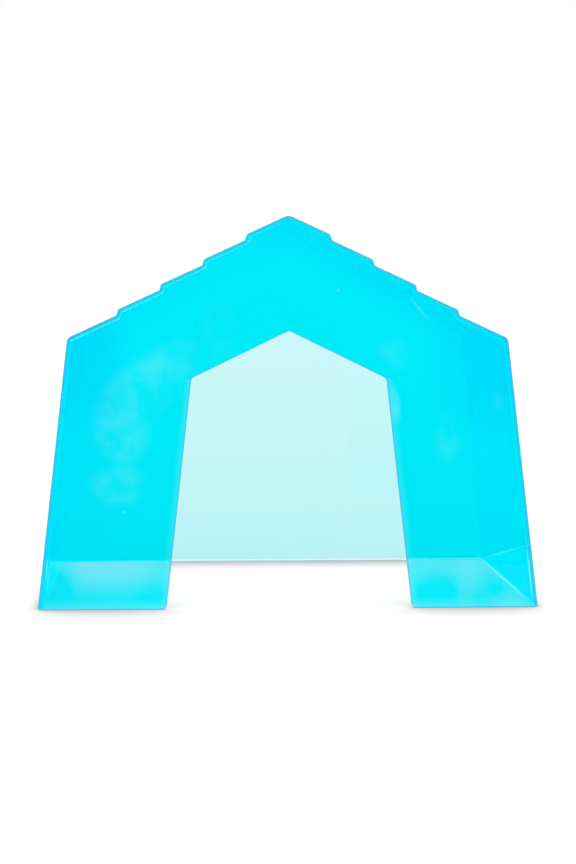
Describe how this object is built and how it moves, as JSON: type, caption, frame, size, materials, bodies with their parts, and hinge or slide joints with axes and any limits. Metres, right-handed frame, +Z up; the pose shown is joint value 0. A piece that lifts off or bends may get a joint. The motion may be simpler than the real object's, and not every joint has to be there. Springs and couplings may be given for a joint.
{
  "type": "small animal hide",
  "caption": "House-shaped hide for small animals, a clear tinted plastic shell with an open bottom, a gabled doorway and a roof of lapped planks.",
  "frame": {"origin": "centre of the footprint, on the surface that the rim rests on", "axes": "+X to the right as the doorway is faced, across the ridge; +Y from the doorway to the back wall, along the ridge; +Z up"},
  "size_m": [0.2198, 0.156, 0.1717],
  "materials": {
    "tinted_polystyrene": "clear cyan tint, polished as moulded"
  },
  "bodies": {
    "root": {"hide_shell": "tinted_polystyrene"}
  },
  "joints": []
}
